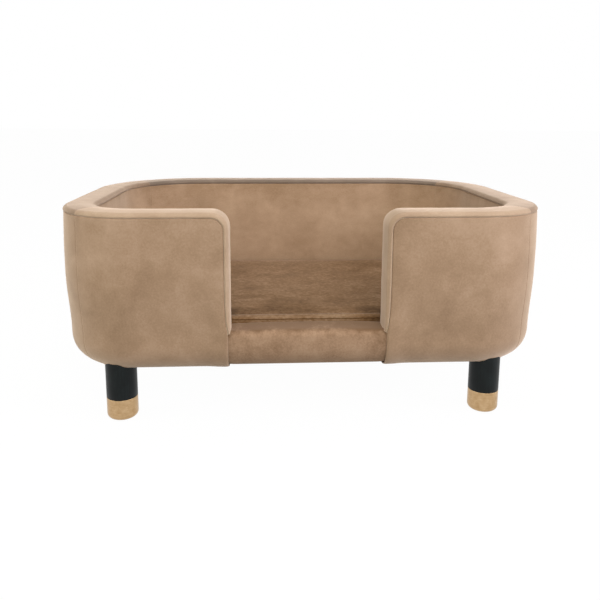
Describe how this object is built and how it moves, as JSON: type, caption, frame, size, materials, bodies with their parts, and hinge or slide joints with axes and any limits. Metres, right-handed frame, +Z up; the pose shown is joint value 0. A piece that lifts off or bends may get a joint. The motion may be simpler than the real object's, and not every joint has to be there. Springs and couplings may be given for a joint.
{
  "type": "dog sofa bed",
  "caption": "Low tub-shaped upholstered pet sofa with a cut-away front, loose seat cushion and four short round legs.",
  "frame": {"origin": "on the floor, under the middle of the tub's outline", "axes": "+X to the right as the picture shows it, -Y to the front with the entrance, +Z up"},
  "size_m": [0.8, 0.54, 0.345],
  "materials": {
    "tub_velvet": "short-pile velvet, matt with a soft sheen at the edges",
    "cushion_velvet": "brushed short-pile velvet, matt",
    "foam": "open-cell upholstery foam, matt",
    "wadding": "polyester wadding, matt",
    "cloth": "black non-woven cloth, matt",
    "plywood": "bare birch plywood",
    "timber": "planed pine",
    "hardboard": "bare hardboard",
    "leg_black": "black stained wood, satin",
    "tip_gold": "satin champagne gold",
    "steel": "zinc-plated steel",
    "glide": "black plastic",
    "zip_tape": "woven tape with a nylon coil",
    "zip_metal": "painted zip slider"
  },
  "bodies": {
    "tub": {"base_panel": "plywood", "base_ring": "plywood", "foot_rail": "plywood", "rim_rail": "plywood", "back_posts": "timber", "corner_posts": "timber", "side_posts": "timber", "end_board_left": "plywood", "end_board_right": "plywood", "outer_skin": "hardboard", "inner_skin": "hardboard", "sill_rail": "timber", "frame_screws": "steel", "tee_nuts": "steel", "leg_bolts": "steel", "outer_foam_left": "foam", "outer_foam_back": "foam", "outer_foam_right": "foam", "inner_foam_left": "foam", "inner_foam_back": "foam", "inner_foam_right": "foam", "rim_pad_left": "foam", "rim_pad_back": "foam", "rim_pad_right": "foam", "sill_foam": "foam", "cover_wing_left": "tub_velvet", "cover_side_left": "tub_velvet", "cover_back": "tub_velvet", "cover_side_right": "tub_velvet", "cover_wing_right": "tub_velvet", "sill_cover": "tub_velvet", "lining_wing_left": "tub_velvet", "lining_side_left": "tub_velvet", "lining_back": "tub_velvet", "lining_side_right": "tub_velvet", "lining_wing_right": "tub_velvet", "cap_wing_left": "tub_velvet", "cap_side_left": "tub_velvet", "cap_back": "tub_velvet", "cap_side_right": "tub_velvet", "cap_wing_right": "tub_velvet", "deck_cloth": "cloth", "dust_cover": "cloth", "leg_front_left": "leg_black", "leg_front_right": "leg_black", "leg_rear_left": "leg_black", "leg_rear_right": "leg_black", "tip_front_left": "tip_gold", "tip_front_right": "tip_gold", "tip_rear_left": "tip_gold", "tip_rear_right": "tip_gold", "glides": "glide"},
    "cushion": {"cushion_core": "foam", "cushion_wadding": "wadding", "cushion_top": "cushion_velvet", "cushion_boxing": "cushion_velvet", "cushion_bottom": "cushion_velvet", "zip_tape": "zip_tape"},
    "slider": {"zip_slider": "zip_metal"}
  },
  "joints": [
    {"name": "cushion_lift", "type": "slide", "parent": "tub", "child": "cushion", "axis": [0, 0, 1], "range_m": [0, 0.25]},
    {"name": "zip_slide", "type": "slide", "parent": "cushion", "child": "slider", "axis": [1, 0, 0], "range_m": [0, 0.38]}
  ]
}
